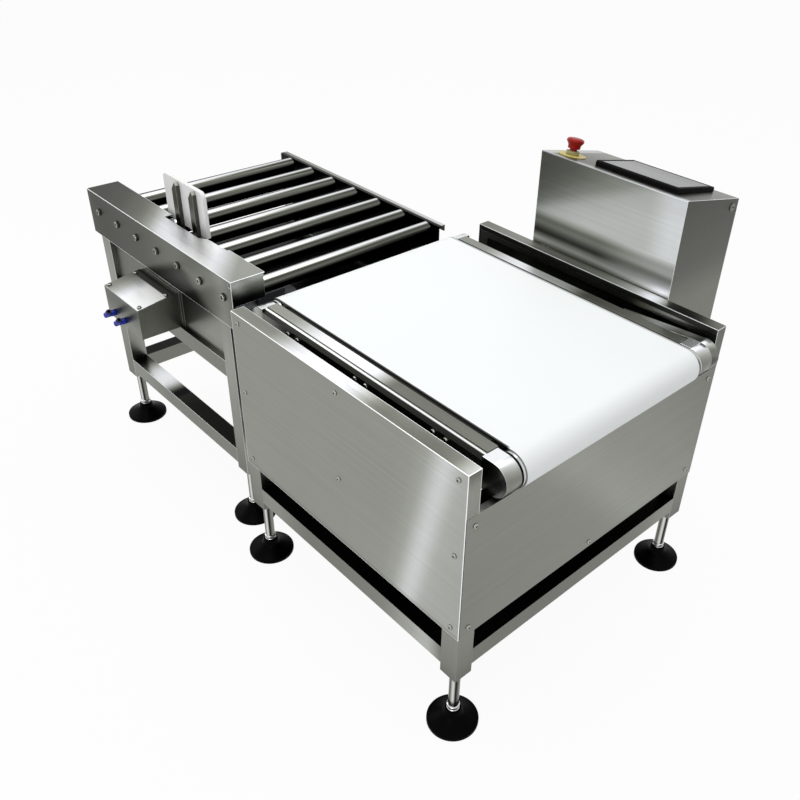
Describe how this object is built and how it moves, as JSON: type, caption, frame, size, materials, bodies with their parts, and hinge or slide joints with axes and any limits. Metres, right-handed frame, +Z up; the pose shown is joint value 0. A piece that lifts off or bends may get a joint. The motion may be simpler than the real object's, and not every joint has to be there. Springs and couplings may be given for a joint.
{
  "type": "checkweigher",
  "caption": "In-line checkweigher with a belt weigh conveyor, a driven roller bed with a side pusher, and a tall control cabinet with a touch screen and stop button.",
  "frame": {"origin": "middle of the whole machine's bounding box, on the floor", "axes": "+X along the conveyor towards the weigh belt's entry end, +Y away from the near side with the valve box towards the cabinet, +Z up"},
  "size_m": [1.3854, 0.976, 0.8599],
  "materials": {
    "frame_tube": "brushed stainless",
    "sheet_steel": "brushed stainless sheet",
    "anodised": "satin anodised",
    "bright_steel": "polished",
    "dark_steel": "brushed",
    "belt": "matt coated",
    "drive_rubber": "matt",
    "motor_paint": "satin paint",
    "white_plastic": "satin",
    "blue_plastic": "moulded",
    "black_plastic": "moulded",
    "screen": "glossy",
    "grey_plastic": "moulded",
    "yellow": "printed",
    "red": "moulded"
  },
  "bodies": {
    "frame": {"air_fittings": "blue_plastic", "bed_legs": "frame_tube", "bed_motor": "motor_paint", "bed_panels": "sheet_steel", "bed_rails": "frame_tube", "bed_side_cover": "sheet_steel", "cabinet_shell": "sheet_steel", "control_plate": "dark_steel", "conveyor_rails": "anodised", "conveyor_ties": "anodised", "cover_screws": "bright_steel", "drive_cords": "drive_rubber", "drive_guard": "sheet_steel", "drive_motor": "motor_paint", "end_blocks": "anodised", "end_panels": "sheet_steel", "far_side_cover": "sheet_steel", "foot_nuts": "bright_steel", "foot_pads": "drive_rubber", "foot_stems": "bright_steel", "hex_bolts": "bright_steel", "load_cell": "anodised", "load_cell_beam": "dark_steel", "module_links": "frame_tube", "near_side_cover": "sheet_steel", "pusher_cylinder": "anodised", "rail_strips": "anodised", "roller_axles": "bright_steel", "roller_bearings": "bright_steel", "roller_rails": "sheet_steel", "screen_bezel": "black_plastic", "screen_glass": "screen", "slider_bed": "sheet_steel", "stop_collar": "grey_plastic", "stop_plate": "yellow", "timing_belt": "drive_rubber", "valve_box": "sheet_steel", "valve_box_lid": "sheet_steel", "weigh_belt": "belt", "weigh_legs": "frame_tube", "weigh_platform": "anodised", "weigh_rails": "frame_tube"},
    "drive_drum": {"drive_drum": "bright_steel", "drum_pulley": "anodised"},
    "tail_drum": {"tail_drum": "bright_steel"},
    "drive_motor_shaft": {"motor_pulley": "anodised"},
    "bed_motor_shaft": {"bed_motor_pulley": "anodised"},
    "pusher": {"pusher_carriage": "anodised", "pusher_arms": "dark_steel", "pusher_plate": "white_plastic"},
    "stop_button": {"stop_button": "red"},
    "cabinet_door": {"cabinet_door": "sheet_steel"},
    "door_lock": {"door_lock": "bright_steel"},
    "bed_roller_1": {"bed_roller_1": "bright_steel"},
    "bed_roller_2": {"bed_roller_2": "bright_steel"},
    "bed_roller_3": {"bed_roller_3": "bright_steel"},
    "bed_roller_4": {"bed_roller_4": "bright_steel"},
    "bed_roller_5": {"bed_roller_5": "bright_steel"},
    "bed_roller_6": {"bed_roller_6": "bright_steel"},
    "bed_roller_7": {"bed_roller_7": "bright_steel"}
  },
  "joints": [
    {"name": "drive_drum_spin", "type": "hinge", "parent": "frame", "child": "drive_drum", "pos_m": [0.65285, -0.064, 0.573], "axis": [0, 1, 0], "continuous": true},
    {"name": "tail_drum_spin", "type": "hinge", "parent": "frame", "child": "tail_drum", "pos_m": [0.01125, -0.064, 0.573], "axis": [0, 1, 0], "continuous": true},
    {"name": "drive_motor_spin", "type": "hinge", "parent": "frame", "child": "drive_motor_shaft", "pos_m": [0.51425, -0.064, 0.5], "axis": [0, 1, 0], "continuous": true},
    {"name": "bed_roller_1_spin", "type": "hinge", "parent": "frame", "child": "bed_roller_1", "pos_m": [-0.63805, -0.064, 0.598], "axis": [0, 1, 0], "continuous": true},
    {"name": "bed_roller_2_spin", "type": "hinge", "parent": "frame", "child": "bed_roller_2", "pos_m": [-0.54545, -0.064, 0.598], "axis": [0, 1, 0], "continuous": true},
    {"name": "bed_roller_3_spin", "type": "hinge", "parent": "frame", "child": "bed_roller_3", "pos_m": [-0.45285, -0.064, 0.598], "axis": [0, 1, 0], "continuous": true},
    {"name": "bed_roller_4_spin", "type": "hinge", "parent": "frame", "child": "bed_roller_4", "pos_m": [-0.36025, -0.064, 0.598], "axis": [0, 1, 0], "continuous": true},
    {"name": "bed_roller_5_spin", "type": "hinge", "parent": "frame", "child": "bed_roller_5", "pos_m": [-0.26765, -0.064, 0.598], "axis": [0, 1, 0], "continuous": true},
    {"name": "bed_roller_6_spin", "type": "hinge", "parent": "frame", "child": "bed_roller_6", "pos_m": [-0.17505, -0.064, 0.598], "axis": [0, 1, 0], "continuous": true},
    {"name": "bed_roller_7_spin", "type": "hinge", "parent": "frame", "child": "bed_roller_7", "pos_m": [-0.08245, -0.064, 0.598], "axis": [0, 1, 0], "continuous": true},
    {"name": "bed_motor_spin", "type": "hinge", "parent": "frame", "child": "bed_motor_shaft", "pos_m": [-0.17505, -0.064, 0.48], "axis": [0, 1, 0], "continuous": true},
    {"name": "pusher_slide", "type": "slide", "parent": "frame", "child": "pusher", "axis": [0, 1, 0], "range_m": [0, 0.4]},
    {"name": "stop_press", "type": "slide", "parent": "frame", "child": "stop_button", "axis": [0, -0.2036, -0.979], "range_m": [0, 0.0045]},
    {"name": "cabinet_door_hinge", "type": "hinge", "parent": "frame", "child": "cabinet_door", "pos_m": [0.15175, 0.4835, 0.56], "axis": [0, 0, 1], "range_deg": [0, 110]},
    {"name": "door_lock_turn", "type": "hinge", "parent": "frame", "child": "door_lock", "pos_m": [0.52625, 0.466, 0.77578], "axis": [1, 0, 0], "range_deg": [0, 90]}
  ],
  "couplings": [
    {"joint": "tail_drum_spin", "follows": "drive_drum_spin", "ratio": 1},
    {"joint": "drive_motor_spin", "follows": "drive_drum_spin", "ratio": 1},
    {"joint": "bed_roller_2_spin", "follows": "bed_roller_1_spin", "ratio": 1},
    {"joint": "bed_roller_3_spin", "follows": "bed_roller_1_spin", "ratio": 1},
    {"joint": "bed_roller_4_spin", "follows": "bed_roller_1_spin", "ratio": 1},
    {"joint": "bed_roller_5_spin", "follows": "bed_roller_1_spin", "ratio": 1},
    {"joint": "bed_roller_6_spin", "follows": "bed_roller_1_spin", "ratio": 1},
    {"joint": "bed_roller_7_spin", "follows": "bed_roller_1_spin", "ratio": 1},
    {"joint": "bed_motor_spin", "follows": "bed_roller_1_spin", "ratio": 0.86547}
  ]
}
